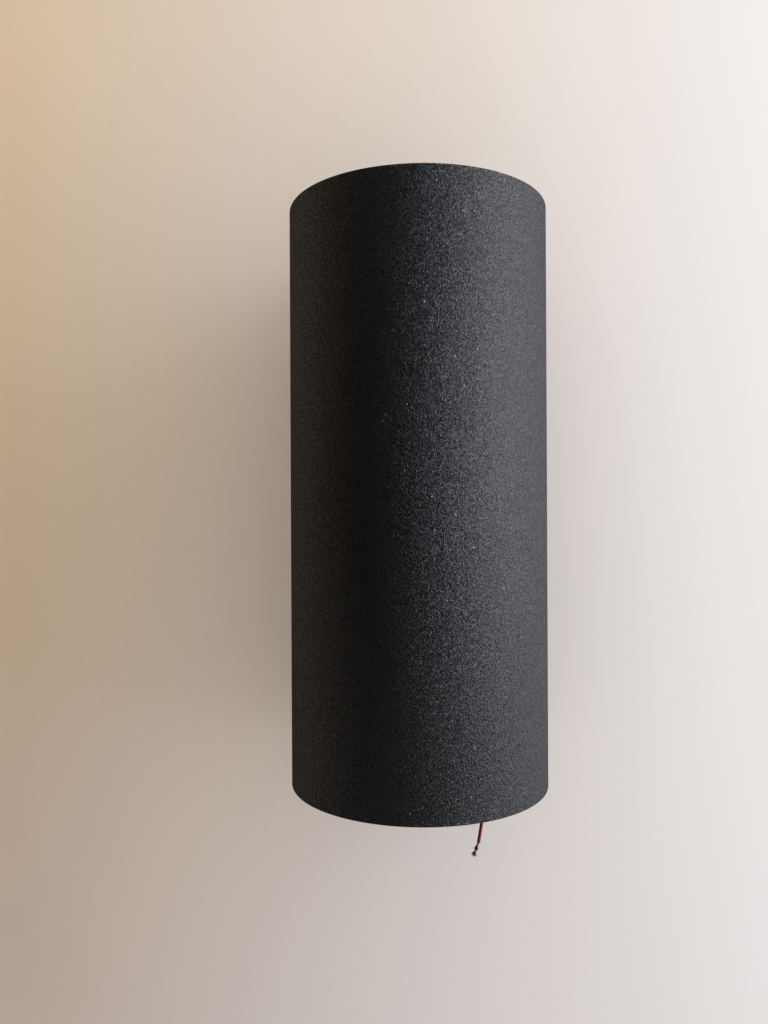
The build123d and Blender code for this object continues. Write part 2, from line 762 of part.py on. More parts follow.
def earth_screw():
    top_z = lug_top_z + m4_head_height
    tip_z = shelf_top_z - shelf_sheet - m4_nut_height - screw_tip
    body = rod_z(m4_head / 2, earth_x, earth_y, lug_top_z, top_z)
    body += rod_z(m4 / 2, earth_x, earth_y, tip_z, lug_top_z)
    cross = Pos(earth_x, earth_y, top_z) * crossed(m4_head)
    return body - extrude(cross, -m4_head_height * drive_depth)


# ---- Leads ----

def turn_radii(route):
    """The largest arc that each corner of a route leaves room for."""
    points = [Vector(*p) for p in route]
    radii = []
    for before, corner, after in zip(points, points[1:], points[2:]):
        turn = (corner - before).get_angle(after - corner)
        shorter = min((corner - before).length, (after - corner).length)
        radii.append(0.45 * shorter / tan(radians(turn / 2)))
    return radii


def lead(name, route, diameter):
    """A round lead along straight runs joined by arcs."""
    radii = turn_radii(route)
    path = FilletPolyline(*route, radius=radii)
    section = Plane(origin=path @ 0, z_dir=path % 0) * Circle(diameter / 2)
    body = sweep(section, path=path)
    straight = pi * diameter**2 / 4 * path.length
    print(name, "length", round(path.length, 1), "radii", [round(r, 1) for r in radii],
          "volume ratio", round(body.volume / straight, 4))
    return body


def front_loop(x):
    """Round the front of the terminal block and back into a pole, in the wiring bay."""
    return [
        (x, loop_y, wire_z + loop_height),
        (x, loop_y - loop_reach, wire_z + loop_height / 2),
        (x, loop_y, wire_z),
        (x, block_front_y + lead_in, wire_z),
    ]


pin_x = pin_spacing / 2
pair_x = lead_pair_pitch / 2
live_x = pole_x(2)
earth_pole_x = pole_x(0)
loop_edge_x = live_x + earth_lead_diameter / 2
bore_front_y = axis_y - sqrt(bore_radius**2 - loop_edge_x**2)
loop_reach = loop_height / 2 * tan(radians(loop_turn))
loop_y = bore_front_y + loop_wall_gap + loop_reach

upper_live_route = [
    (pin_x, axis_y, seat_z), (pin_x, axis_y, 10.8), (6.0, axis_y - 6.5, 3.2),
    (8.6, axis_y - 23.5, -1.0),
] + front_loop(live_x)

upper_neutral_route = [
    (-pin_x, axis_y, seat_z), (-pin_x, axis_y, 11.8), (-4.0, axis_y - 6.5, 4.6),
    (-0.4, axis_y - 23.5, 1.4),
] + front_loop(pair_x)

lower_neutral_route = [
    (-pin_x, axis_y, -seat_z), (-pin_x, axis_y, -10.2), (-4.4, axis_y - 6.0, -3.6),
    (-3.0, axis_y - 15.0, -1.0), (-1.4, axis_y - 25.5, -1.3),
] + front_loop(-pair_x)

earth_route = [
    (earth_x, barrel_y, barrel_top_z), (earth_x, barrel_y, -5.0), (-13.2, axis_y + 4.0, -0.6),
    (-12.2, axis_y - 8.0, -0.7), (-11.1, axis_y - 23.0, -1.0),
] + front_loop(earth_pole_x)

# The loose lead leaves the lower holder, goes over the edge of the shelf and falls between lamp and
# tube, out past the lower rim.
loose_route = [
    (pin_x, axis_y, -seat_z), (pin_x, axis_y, -11.5), (9.5, -51.5, -5.0), (17.5, -44.0, -4.6),
    (24.3, -37.2, -11.0), (27.2, -33.3, -23.5), (28.6, -31.2, -45.0), (28.9, -30.6, -72.0),
    (27.9, -31.2, -99.5), (25.9, -32.0, -121.5), (23.8, -32.0, -133.0),
]


def loose_lead_tail():
    """The lead's bare tinned end, pinched in two places and splayed at its tip."""
    end = Vector(*loose_route[-1])
    way = (end - Vector(*loose_route[-2])).normalized()
    spindle = turned(
        (0, 0), (0.38, 0), (0.38, 0.9), (0.72, 1.7), (0.85, 2.9), (0.55, 3.6), (0.35, 3.9),
        (0.95, 5.0), (0.6, 5.6), (0, 5.7),
    )
    return Plane(origin=end, z_dir=way) * spindle


# ---- Write every piece ----

os.makedirs("parts", exist_ok=True)
both = (-1, 1)

save("wall_bracket", wall_bracket())
save("bracket_grommet", bracket_grommet())
bracket_screw, bracket_washer = bracket_earth()
save("bracket_earth_screw", bracket_screw)
save("bracket_earth_washer", bracket_washer)

save("tube_body", tube_body())
save("back_housing", back_housing())
save("wall_seal", wall_seal())
save("tube_grommet", tube_grommet())
save("hang_studs", *[hang_stud(end * stud_z) for end in both])
save("stud_washers", *[stud_washer(end * stud_z) for end in both])
washer_front_y = leg_front_y - m4_washer_thickness
save("stud_nuts", *[nut_y(m4_nut_flats, m4_nut_height, m4, 0, end * stud_z, washer_front_y)
                    for end in both])
save("lock_screws", *[lock_screw(side) for side in both])

upper_bracket = holder_bracket()
save("holder_bracket_upper", upper_bracket)
save("holder_bracket_lower", below(upper_bracket))

holder_place = Pos(0, axis_y, seat_z)
upper_holder = holder_place * lampholder()
upper_contacts = [holder_place * contact(side) for side in both]
upper_screws = [holder_place * holder_screw(side) for side in both]
upper_nuts = [nut_z(m3_nut_flats, m3_nut_height, m3, side * holder_screw_spacing / 2, axis_y,
                    shelf_inner_z - m3_nut_height) for side in both]
save("lampholder_upper", upper_holder)
save("lampholder_lower", below(upper_holder))
save("contacts_upper", *upper_contacts)
save("contacts_lower", *[below(piece) for piece in upper_contacts])
save("holder_screws", *upper_screws, *[below(piece) for piece in upper_screws])
save("holder_nuts", *upper_nuts, *[below(piece) for piece in upper_nuts])

lamp_place = Pos(0, axis_y, lamp_base_z)
lamp_pieces = {
    "base": [lamp_base()],
    "pins": [lamp_pin(side) for side in both],
    "shell": [lamp_shell()],
    "led_board": [led_board()],
    "led": [lamp_led()],
    "lens": [lamp_lens()],
    "driver": [lamp_driver()],
}
for name, solids in lamp_pieces.items():
    placed = [lamp_place * solid for solid in solids]
    save(f"lamp_upper_{name}", *placed)
    save(f"lamp_lower_{name}", *[below(solid) for solid in placed])

save("terminal_block", terminal_block())
save("terminal_inserts", *[terminal_insert(index) for index in range(pole_count)])
save("terminal_screws", *[terminal_screw_solid(index, end)
                          for index in range(pole_count) for end in both])
save("terminal_fixing_screws", *[block_screw_solid(x) for x in block_screw_xs()])
save("earth_lug", earth_lug())
save("earth_screw", earth_screw())
save("earth_nut", nut_z(m4_nut_flats, m4_nut_height, m4, earth_x, earth_y,
                        shelf_top_z - shelf_sheet - m4_nut_height))

save("lead_upper_live", lead("upper live", upper_live_route, lead_diameter))
save("lead_upper_neutral", lead("upper neutral", upper_neutral_route, lead_diameter))
save("lead_lower_neutral", lead("lower neutral", lower_neutral_route, lead_diameter))
save("earth_lead", lead("earth", earth_route, earth_lead_diameter))
save("loose_lead", lead("loose", loose_route, lead_diameter))
save("loose_lead_tail", loose_lead_tail())
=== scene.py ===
import math

import bmesh
import bpy
import mathutils
from mathutils import Matrix, Vector


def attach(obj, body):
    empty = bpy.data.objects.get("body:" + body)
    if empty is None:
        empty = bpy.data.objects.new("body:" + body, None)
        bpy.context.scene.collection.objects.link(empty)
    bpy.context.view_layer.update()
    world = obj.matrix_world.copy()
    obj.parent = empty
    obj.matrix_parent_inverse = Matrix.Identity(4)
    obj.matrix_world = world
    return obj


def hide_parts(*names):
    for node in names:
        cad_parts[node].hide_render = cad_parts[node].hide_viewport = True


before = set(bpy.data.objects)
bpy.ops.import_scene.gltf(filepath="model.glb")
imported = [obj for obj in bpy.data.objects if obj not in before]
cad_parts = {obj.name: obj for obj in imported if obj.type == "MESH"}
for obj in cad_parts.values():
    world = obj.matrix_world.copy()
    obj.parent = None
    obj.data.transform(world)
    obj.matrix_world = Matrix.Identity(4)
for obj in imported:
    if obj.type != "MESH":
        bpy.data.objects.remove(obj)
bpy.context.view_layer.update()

# ---- Camera ----
# The light was looked at square on from 0.29 m in front of the tube's axis, a little left of and
# below its middle, with a very slight roll. The lens takes in the tube and the wall all round it.

eye = bpy.data.objects.new("eye", bpy.data.cameras.new("eye"))
bpy.context.collection.objects.link(eye)
slight_roll = 0.0045
eye.location = (-0.01215, -0.346, -0.005)
eye.rotation_euler = (math.radians(90), slight_roll, 0)
eye.data.sensor_width = 36
eye.data.lens = 28.547
bpy.context.scene.camera = eye


# ---- Wall bracket, its grommet and its earth screw ----
# The bracket that stays on the wall: 1.5 mm steel strip, punched and folded, then bright zinc
# plated. It has a rubber grommet pressed into its cable hole and a brass earth screw on its strip.

def linear(code):
    """A colour written as sRGB hex, as the linear light that shaders take."""
    parts = [int(code[i:i + 2], 16) / 255 for i in (0, 2, 4)]
    return tuple(c / 12.92 if c <= 0.04045 else ((c + 0.055) / 1.055) ** 2.4 for c in parts) + (1,)


def add(tree, kind, settings=(), links=()):
    """Adds a node. Settings go to its sockets or its own values, and links to its sockets."""
    made = tree.nodes.new(kind)
    for name, value in dict(settings).items():
        if isinstance(name, int) or name in made.inputs:
            made.inputs[name].default_value = value
        else:
            setattr(made, name, value)
    for name, source in dict(links).items():
        tree.links.new(made.inputs[name], source)
    return made


def material(name, colour, roughness, **plain):
    """A named finish: its tree, its shader and the place on the object that patterns go by."""
    made = bpy.data.materials.new(name)
    made.use_nodes = True
    tree = made.node_tree
    shader = tree.nodes["Principled BSDF"]
    shader.inputs["Base Color"].default_value = linear(colour)
    shader.inputs["Roughness"].default_value = roughness
    for socket, value in plain.items():
        shader.inputs[socket.replace("_", " ")].default_value = value
    place = add(tree, "ShaderNodeTexCoord").outputs["Object"]
    return made, tree, shader, place


def dress(finish, *names):
    """Gives CAD pieces their finish."""
    for name in names:
        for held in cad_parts[name].material_slots:
            held.material = finish


# Bright zinc plate over rolled steel: a cool grey metal, soft in its reflections, with faint cloudy
# patches of blue and straw from the passivation. The clouds are about 9 mm across and the rolling
# lines, 0.1 mm apart in the real sheet, are drawn at 0.5 mm.
zinc_plate, tree, shader, place = material("zinc_plated_rolled_steel", "C4C7CA", 0.34, Metallic=1)
clouds = add(tree, "ShaderNodeTexNoise", {"Scale": 110, "Detail": 3}, {"Vector": place})
tint = add(tree, "ShaderNodeMix", {"data_type": "RGBA", 6: linear("BAC1C9"), 7: linear("CDCABD")},
           {0: clouds.outputs["Fac"]})
tree.links.new(shader.inputs["Base Color"], tint.outputs[2])
grain = add(tree, "ShaderNodeMapping", {"Scale": (2000, 2000, 60)}, {"Vector": place})
rolled = add(tree, "ShaderNodeTexNoise", {"Scale": 1, "Detail": 2},
             {"Vector": grain.outputs["Vector"]})
dull = add(tree, "ShaderNodeMapRange",
           {"From Min": 0.3, "From Max": 0.7, "To Min": 0.27, "To Max": 0.42},
           {"Value": rolled.outputs["Fac"]})
tree.links.new(shader.inputs["Roughness"], dull.outputs["Result"])
lines = add(tree, "ShaderNodeBump", {"Strength": 0.15, "Distance": 0.00002},
            {"Height": rolled.outputs["Fac"]})
tree.links.new(shader.inputs["Normal"], lines.outputs["Normal"])
dress(zinc_plate, "wall_bracket", "holder_bracket_upper", "holder_bracket_lower")

# Moulded rubber: nearly black, dull, with a greyish bloom in soft patches 4 mm across.
rubber, tree, shader, place = material("moulded_black_rubber", "1B1B1C", 0.78)
bloom = add(tree, "ShaderNodeTexNoise", {"Scale": 250, "Detail": 4}, {"Vector": place})
greyed = add(tree, "ShaderNodeMix", {"data_type": "RGBA", 6: linear("161617"), 7: linear("29292A")},
             {0: bloom.outputs["Fac"]})
tree.links.new(shader.inputs["Base Color"], greyed.outputs[2])
dress(rubber, "bracket_grommet", "tube_grommet")

# Turned brass: a warm yellow metal, softly bright, with brown tarnish in patches 2.5 mm across.
brass, tree, shader, place = material("turned_brass", "D6B262", 0.3, Metallic=1)
tarnish = add(tree, "ShaderNodeTexNoise", {"Scale": 400, "Detail": 4}, {"Vector": place})
browned = add(tree, "ShaderNodeMix",
              {"data_type": "RGBA", 6: linear("DDBB6C"), 7: linear("B48E4A")},
              {0: tarnish.outputs["Fac"]})
tree.links.new(shader.inputs["Base Color"], browned.outputs[2])
dress(brass, "bracket_earth_screw", "bracket_earth_washer", "contacts_upper", "contacts_lower",
      "terminal_inserts", "earth_screw", "earth_nut")


# ---- Tube ----
# The body of the light: a length of 90 mm aluminium tube with a 2 mm wall, cut square at both ends,
# drilled at the back for the cable and two studs, and powder coated in fine sand-textured black.

tube_radius = 0.045
tube_wall = 0.002
tube_half = 0.1
tube_sides = 256
axis_y = -0.057
cable_hole = 0.007
stud_hole = 0.0022
stud_height = 0.038


def lathe(name, outline, steps, centre=(0, 0, 0)):
    """A closed ring turned about an upright axis from the (radius, height) of its section."""
    shape = bmesh.new()
    corners = [shape.verts.new((r, 0, z)) for r, z in outline]
    loop = [shape.edges.new((corners[i - 1], corners[i])) for i in range(len(corners))]
    bmesh.ops.spin(shape, geom=corners + loop, cent=(0, 0, 0), axis=(0, 0, 1), angle=2 * math.pi,
                   steps=steps, use_merge=True)
    bmesh.ops.recalc_face_normals(shape, faces=shape.faces)
    bmesh.ops.translate(shape, verts=shape.verts, vec=centre)
    mesh = bpy.data.meshes.new(name)
    shape.to_mesh(mesh)
    shape.free()
    made = bpy.data.objects.new(name, mesh)
    bpy.context.collection.objects.link(made)
    return made


def smooth(piece, angle):
    """Shades a piece smooth, and keeps its edges sharper than the angle."""
    piece.data.polygons.foreach_set("use_smooth", [True] * len(piece.data.polygons))
    piece.data.set_sharp_from_angle(angle=math.radians(angle))


# The section of the tube's wall. Its four edges are eased by 0.3 mm, with a point midway in each.
inner = tube_radius - tube_wall
ease = 0.0003
between = ease * 0.3
tube = lathe("tube", [
    (inner, -tube_half + ease), (inner + between, -tube_half + between), (inner + ease, -tube_half),
    (tube_radius - ease, -tube_half), (tube_radius - between, -tube_half + between),
    (tube_radius, -tube_half + ease), (tube_radius, tube_half - ease),
    (tube_radius - between, tube_half - between), (tube_radius - ease, tube_half),
    (inner + ease, tube_half), (inner + between, tube_half - between), (inner, tube_half - ease),
], steps=tube_sides, centre=(0, axis_y, 0))


def drill(piece, holes):
    """Cuts round holes (x, z, radius) through the back of a piece, 20 mm deep from the wall."""
    bits = bmesh.new()
    depth = 0.02
    for x, z, radius in holes:
        turn = Matrix.Translation((x, -depth / 2, z)) @ Matrix.Rotation(math.radians(90), 4, "X")
        bmesh.ops.create_cone(bits, cap_ends=True, segments=48, radius1=radius, radius2=radius,
                              depth=depth, matrix=turn)
    mesh = bpy.data.meshes.new("bits")
    bits.to_mesh(mesh)
    bits.free()
    cutter = bpy.data.objects.new("bits", mesh)
    bpy.context.collection.objects.link(cutter)
    cut = piece.modifiers.new("drilled", "BOOLEAN")
    cut.operation = "DIFFERENCE"
    cut.solver = "EXACT"
    cut.object = cutter
    bpy.context.view_layer.update()
    finished = piece.evaluated_get(bpy.context.evaluated_depsgraph_get())
    drilled = bpy.data.meshes.new_from_object(finished)
    piece.modifiers.clear()
    piece.data = drilled
    bpy.data.objects.remove(cutter)


drill(tube, [(0, 0, cable_hole), (0, stud_height, stud_hole), (0, -stud_height, stud_hole)])
smooth(tube, angle=35)

# Fine sand-textured polyester powder coat: a black that is never quite black, dull, with a hard
# tight grain whose facets catch a side light one by one, and a few points that sparkle. The real
# grain is a little finer than the 0.4 mm that it is drawn at.
sand_black, tree, shader, place = material("sand_textured_black_powder_coat", "2A2A2C", 0.45,
                                           Specular_IOR_Level=0.3)
grains_per_metre = 2600
share_without_spark = 0.998
duller_along = 0.55
lean_by = 0.5
sand = add(tree, "ShaderNodeTexNoise", {"Scale": grains_per_metre, "Detail": 1}, {"Vector": place})
grit = add(tree, "ShaderNodeTexVoronoi", {"Scale": grains_per_metre}, {"Vector": place})
# The base colour follows the grain's height, black in its pits and grey on its tops, so the pits
# carry painted shade.
painted_pit_shade = add(tree, "ShaderNodeMapRange", {"From Min": 0.35, "From Max": 0.65},
           {"Value": sand.outputs["Fac"]})
body = add(tree, "ShaderNodeMix", {"data_type": "RGBA", 6: linear("000000"), 7: linear("3A3A3D")},
           {0: painted_pit_shade.outputs["Result"]})
channels = add(tree, "ShaderNodeSeparateColor", {}, {"Color": grit.outputs["Color"]})
spark = add(tree, "ShaderNodeMath", {"operation": "GREATER_THAN", 1: share_without_spark},
            {0: channels.outputs["Red"]})
point = add(tree, "ShaderNodeMix", {"data_type": "RGBA", 7: linear("5E6064")},
            {0: spark.outputs[0], 6: body.outputs[2]})
tree.links.new(shader.inputs["Base Color"], point.outputs[2])
tree.links.new(shader.inputs["Metallic"], spark.outputs[0])
dull = add(tree, "ShaderNodeMapRange",
           {"From Min": 0.35, "From Max": 0.65, "To Min": 0.62, "To Max": 0.24},
           {"Value": sand.outputs["Fac"]})
# Seen along the surface the grains hide each other's shine, so it is duller there.
along = add(tree, "ShaderNodeLayerWeight", {"Blend": 0.5})
along = add(tree, "ShaderNodeMath", {"operation": "POWER", 1: 2.0}, {0: along.outputs["Facing"]})
dull = add(tree, "ShaderNodeMath", {"operation": "MULTIPLY_ADD", 1: duller_along},
           {0: along.outputs[0], 2: dull.outputs["Result"]})
dull = add(tree, "ShaderNodeClamp", {}, {"Value": dull.outputs[0]})
tree.links.new(shader.inputs["Roughness"], dull.outputs["Result"])
# Each grain leans its own way, and the bump rounds it.
around = add(tree, "ShaderNodeNewGeometry")
lean = add(tree, "ShaderNodeVectorMath", {"operation": "SUBTRACT", 1: (0.5, 0.5, 0.5)},
           {0: grit.outputs["Color"]})
lean = add(tree, "ShaderNodeVectorMath", {"operation": "SCALE", "Scale": lean_by},
           {0: lean.outputs["Vector"]})
facet = add(tree, "ShaderNodeVectorMath", {"operation": "ADD"},
            {0: lean.outputs["Vector"], 1: around.outputs["Normal"]})
facet = add(tree, "ShaderNodeVectorMath", {"operation": "NORMALIZE"}, {0: facet.outputs["Vector"]})
bumps = add(tree, "ShaderNodeBump", {"Strength": 1.0, "Distance": 0.0003, "Filter Width": 0.05},
            {"Height": sand.outputs["Fac"], "Normal": facet.outputs["Vector"]})
tree.links.new(shader.inputs["Normal"], bumps.outputs["Normal"])
tube.data.materials.clear()
tube.data.materials.append(sand_black)
dress(sand_black, "back_housing", "tube_body")
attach(tube, "fixture")
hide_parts("tube_body")


# ---- Back housing, seal and hanging studs ----
# A shallow box die-cast in aluminium with 2.5 mm walls, powder coated like the tube, with a foam
# ring against the wall. Two zinc plated studs hold tube and housing together and hang on the
# bracket's keyholes.

# Closed-cell foam rubber, cut from sheet: black and quite dull, with open pores 0.5 mm across,
# whose hollows are painted darker as painted shade.
foam, tree, shader, place = material("cut_closed_cell_foam", "232324", 0.95)
pores = add(tree, "ShaderNodeTexVoronoi", {"Scale": 2000}, {"Vector": place})
hollow = add(tree, "ShaderNodeMapRange", {"From Max": 0.6}, {"Value": pores.outputs["Distance"]})
# Painted shade: each pore is darker in its hollow.
greys_with_painted_pore_shade = add(tree, "ShaderNodeMix", {"data_type": "RGBA", 6: linear("141414"), 7: linear("2C2C2D")},
            {0: hollow.outputs["Result"]})
tree.links.new(shader.inputs["Base Color"], greys_with_painted_pore_shade.outputs[2])
pits = add(tree, "ShaderNodeBump", {"Strength": 0.8, "Distance": 0.0002},
           {"Height": hollow.outputs["Result"]})
tree.links.new(shader.inputs["Normal"], pits.outputs["Normal"])
dress(foam, "wall_seal")

# Bright zinc plate on turned screws and nuts: a clean cool metal, sharper in its reflections than
# the sheet, with a few duller spots a millimetre across.
zinc_screw, tree, shader, place = material("bright_zinc_plated_screws", "CDD0D3", 0.24, Metallic=1)
spots = add(tree, "ShaderNodeTexNoise", {"Scale": 900, "Detail": 3}, {"Vector": place})
dull = add(tree, "ShaderNodeMapRange",
           {"From Min": 0.35, "From Max": 0.7, "To Min": 0.18, "To Max": 0.38},
           {"Value": spots.outputs["Fac"]})
tree.links.new(shader.inputs["Roughness"], dull.outputs["Result"])
cool = add(tree, "ShaderNodeMix", {"data_type": "RGBA", 6: linear("D3D6DA"), 7: linear("BFC0BE")},
           {0: spots.outputs["Fac"]})
tree.links.new(shader.inputs["Base Color"], cool.outputs[2])
dress(zinc_screw, "hang_studs", "stud_washers", "stud_nuts", "lock_screws", "holder_screws",
      "holder_nuts", "terminal_screws", "terminal_fixing_screws")


# ---- Lampholders ----
# Two steatite blocks, one on each folded shelf, that the lamps' pins turn into. Steatite is pressed
# and fired without a glaze, and the contacts inside are brass.

# Fired steatite: a warm off-white, matt like an eggshell, with fine grey specks 0.6 mm apart.
steatite, tree, shader, place = material("fired_steatite", "E9E4D9", 0.58, Subsurface_Weight=0.05)
shader.inputs["Subsurface Radius"].default_value = (0.001, 0.0008, 0.0006)
shader.inputs["Subsurface Scale"].default_value = 1
specks = add(tree, "ShaderNodeTexNoise", {"Scale": 1700, "Detail": 2}, {"Vector": place})
few = add(tree, "ShaderNodeMapRange", {"From Min": 0.62, "From Max": 0.72},
          {"Value": specks.outputs["Fac"]})
fired = add(tree, "ShaderNodeMix", {"data_type": "RGBA", 6: linear("ECE7DC"), 7: linear("B7B0A2")},
            {0: few.outputs["Result"]})
tree.links.new(shader.inputs["Base Color"], fired.outputs[2])
pressed = add(tree, "ShaderNodeBump", {"Strength": 0.35, "Distance": 0.00005},
              {"Height": specks.outputs["Fac"]})
tree.links.new(shader.inputs["Normal"], pressed.outputs["Normal"])
dress(steatite, "lampholder_upper", "lampholder_lower")


# ---- Terminal block ----
# Three poles in white polyamide on the front of the lower shelf, each with a brass tube and two
# screws that clamp the leads.

# Moulded polyamide: milky white, softly shining, and a little light goes into it. The mould was
# spark-eroded, which leaves a faint grain of 0.3 mm.
polyamide, tree, shader, place = material("moulded_white_polyamide", "E4E2DA", 0.42,
                                          Subsurface_Weight=0.15)
shader.inputs["Subsurface Radius"].default_value = (0.0012, 0.001, 0.0008)
shader.inputs["Subsurface Scale"].default_value = 1
eroded = add(tree, "ShaderNodeTexNoise", {"Scale": 3300, "Detail": 2}, {"Vector": place})
milky = add(tree, "ShaderNodeMix", {"data_type": "RGBA", 6: linear("DEDBD2"), 7: linear("EAE8E1")},
            {0: eroded.outputs["Fac"]})
tree.links.new(shader.inputs["Base Color"], milky.outputs[2])
moulded = add(tree, "ShaderNodeBump", {"Strength": 0.3, "Distance": 0.00003},
              {"Height": eroded.outputs["Fac"]})
tree.links.new(shader.inputs["Normal"], moulded.outputs["Normal"])
dress(polyamide, "terminal_block")


# ---- Leads inside the tube ----
# Silicone leads from the holders to the terminal block, which loop round its front and go into the
# poles from there, and the green and yellow earth lead from a tinned lug on the housing.

def lead(name, route, diameter, finish, body):
    """A round lead along a smooth line that the route's points guide."""
    line = bpy.data.curves.new(name, "CURVE")
    line.dimensions = "3D"
    run = line.splines.new("NURBS")
    run.points.add(len(route) - 1)
    for point, at in zip(run.points, route):
        point.co = (*at, 1)
    run.order_u = 3
    run.use_endpoint_u = True
    run.resolution_u = 12
    line.bevel_depth = diameter / 2
    line.bevel_resolution = 5
    line.use_fill_caps = True
    line.materials.append(finish)
    made = bpy.data.objects.new(name, line)
    bpy.context.collection.objects.link(made)
    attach(made, body)
    return made


# Extruded silicone insulation: deep crimson with a soft waxy shine, slightly cloudy in patches.
red_silicone, tree, shader, place = material("red_silicone_insulation", "7C1721", 0.42)
cloudy = add(tree, "ShaderNodeTexNoise", {"Scale": 600, "Detail": 2}, {"Vector": place})
reds = add(tree, "ShaderNodeMix", {"data_type": "RGBA", 6: linear("6E131D"), 7: linear("8A1B26")},
           {0: cloudy.outputs["Fac"]})
tree.links.new(shader.inputs["Base Color"], reds.outputs[2])

# The same silicone in black, with the same soft shine and a faint dusty bloom.
black_silicone, tree, shader, place = material("black_silicone_insulation", "17171A", 0.42)
cloudy = add(tree, "ShaderNodeTexNoise", {"Scale": 600, "Detail": 2}, {"Vector": place})
blacks = add(tree, "ShaderNodeMix", {"data_type": "RGBA", 6: linear("121214"), 7: linear("242427")},
             {0: cloudy.outputs["Fac"]})
tree.links.new(shader.inputs["Base Color"], blacks.outputs[2])

# Earth insulation: green with two yellow stripes that were extruded along it, each a quarter of its
# girth. The pattern follows the lead's own map, whose V goes round it.
striped, tree, shader, place = material("green_and_yellow_insulation", "3F7A34", 0.4)
own = add(tree, "ShaderNodeTexCoord").outputs["UV"]
round_it = add(tree, "ShaderNodeSeparateXYZ", {}, {"Vector": own})
twice = add(tree, "ShaderNodeMath", {"operation": "MULTIPLY", 1: 2.0}, {0: round_it.outputs["Y"]})
part = add(tree, "ShaderNodeMath", {"operation": "FRACT"}, {0: twice.outputs[0]})
stripe = add(tree, "ShaderNodeMath", {"operation": "GREATER_THAN", 1: 0.5}, {0: part.outputs[0]})
earth_colours = add(tree, "ShaderNodeMix",
                    {"data_type": "RGBA", 6: linear("2F7536"), 7: linear("D9C92E")},
                    {0: stripe.outputs[0]})
tree.links.new(shader.inputs["Base Color"], earth_colours.outputs[2])

# Tinned copper: a soft silver metal, slightly yellow, mottled 0.4 mm across where the tin is thin.
tinned, tree, shader, place = material("tinned_copper", "C9C7C0", 0.32, Metallic=1)
mottled = add(tree, "ShaderNodeTexNoise", {"Scale": 2500, "Detail": 2}, {"Vector": place})
tinny = add(tree, "ShaderNodeMix", {"data_type": "RGBA", 6: linear("A8A49B"), 7: linear("D6D5D0")},
            {0: mottled.outputs["Fac"]})
tree.links.new(shader.inputs["Base Color"], tinny.outputs[2])
dress(tinned, "earth_lug")

lead_diameter = 0.0013
earth_diameter = 0.0016
# Each lead: name, the CAD piece that it stands for, slot, finish, diameter, length and route.
for name, node, slot, finish, diameter, length, route in (
    ("upper_live_lead", "lead_upper_live", "red_lead", red_silicone, lead_diameter, 0.0749,
     [(0.005, -0.057, 0.0202), (0.005, -0.057, 0.0108), (0.006, -0.0635, 0.0032),
      (0.0086, -0.0805, -0.001), (0.01, -0.0929, -0.0019), (0.01, -0.0963, -0.0078),
      (0.01, -0.0929, -0.0137), (0.01, -0.079, -0.0137)]),
    ("upper_neutral_lead", "lead_upper_neutral", "black_lead", black_silicone, lead_diameter, 0.0741,
     [(-0.005, -0.057, 0.0202), (-0.005, -0.057, 0.0118), (-0.004, -0.0635, 0.0046),
      (-0.0004, -0.0805, 0.0014), (0.00075, -0.0929, -0.0019), (0.00075, -0.0963, -0.0078),
      (0.00075, -0.0929, -0.0137), (0.00075, -0.079, -0.0137)]),
    ("lower_neutral_lead", "lead_lower_neutral", "black_lead", black_silicone, lead_diameter, 0.0747,
     [(-0.005, -0.057, -0.0202), (-0.005, -0.057, -0.0102), (-0.0044, -0.063, -0.0036),
      (-0.003, -0.072, -0.001), (-0.0014, -0.0825, -0.0013), (-0.00075, -0.0929, -0.0019),
      (-0.00075, -0.0963, -0.0078), (-0.00075, -0.0929, -0.0137), (-0.00075, -0.079, -0.0137)]),
    ("earth_wire", "earth_lead", "earth_lead", striped, earth_diameter, 0.0813,
     [(-0.014, -0.0468, -0.0134), (-0.014, -0.0468, -0.005), (-0.0132, -0.053, -0.0006),
      (-0.0122, -0.065, -0.0007), (-0.0111, -0.08, -0.001), (-0.01, -0.0929, -0.0019),
      (-0.01, -0.0963, -0.0078), (-0.01, -0.0929, -0.0137), (-0.01, -0.079, -0.0137)]),
):
    wire = lead(name, route, diameter, finish, "fixture")
    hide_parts(node)


# ---- Loose lead ----
# A thin red silicone lead from the lower lampholder, over the holder's shelf, down between the lamp
# and the tube and out past the lower rim. Its end is stripped, and solder holds its strands in two
# lumps, past which they splay.

loose_route = [
    (0.005, -0.057, -0.0202), (0.005, -0.057, -0.0115), (0.0095, -0.0515, -0.005),
    (0.0175, -0.044, -0.0046), (0.0243, -0.0372, -0.011), (0.0272, -0.0333, -0.0235),
    (0.0286, -0.0312, -0.045), (0.0289, -0.0306, -0.072), (0.0279, -0.0312, -0.0995),
    (0.0259, -0.032, -0.1215), (0.0238, -0.032, -0.133),
]
loose_lead = lead("loose_red_lead", loose_route, lead_diameter, red_silicone, "fixture")
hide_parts("loose_lead")

# The end's strands: tinned near the insulation, and bare brown copper where they have come apart.
tin_thins = -0.1367
copper_bare = -0.1374
strand_metal, tree, shader, place = material("tinned_strands_with_copper_ends", "7F7C76", 0.3,
                                             Metallic=1)
at = add(tree, "ShaderNodeSeparateXYZ", {}, {"Vector": place})
bare = add(tree, "ShaderNodeMapRange", {"From Min": tin_thins, "From Max": copper_bare},
           {"Value": at.outputs["Z"]})
copper = add(tree, "ShaderNodeMix", {"data_type": "RGBA", 6: linear("7F7C76"), 7: linear("7A5330")},
             {0: bare.outputs["Result"]})
tree.links.new(shader.inputs["Base Color"], copper.outputs[2])

# Solder, set in lumps on the strands: dark and smooth, duller in patches half a millimetre across.
solder, tree, shader, place = material("solder_bead", "4A4743", 0.26, Metallic=1)
tarnish = add(tree, "ShaderNodeTexNoise", {"Scale": 1800, "Detail": 3}, {"Vector": place})
greyed = add(tree, "ShaderNodeMix", {"data_type": "RGBA", 6: linear("34322F"), 7: linear("615E59")},
             {0: tarnish.outputs["Fac"]})
tree.links.new(shader.inputs["Base Color"], greyed.outputs[2])

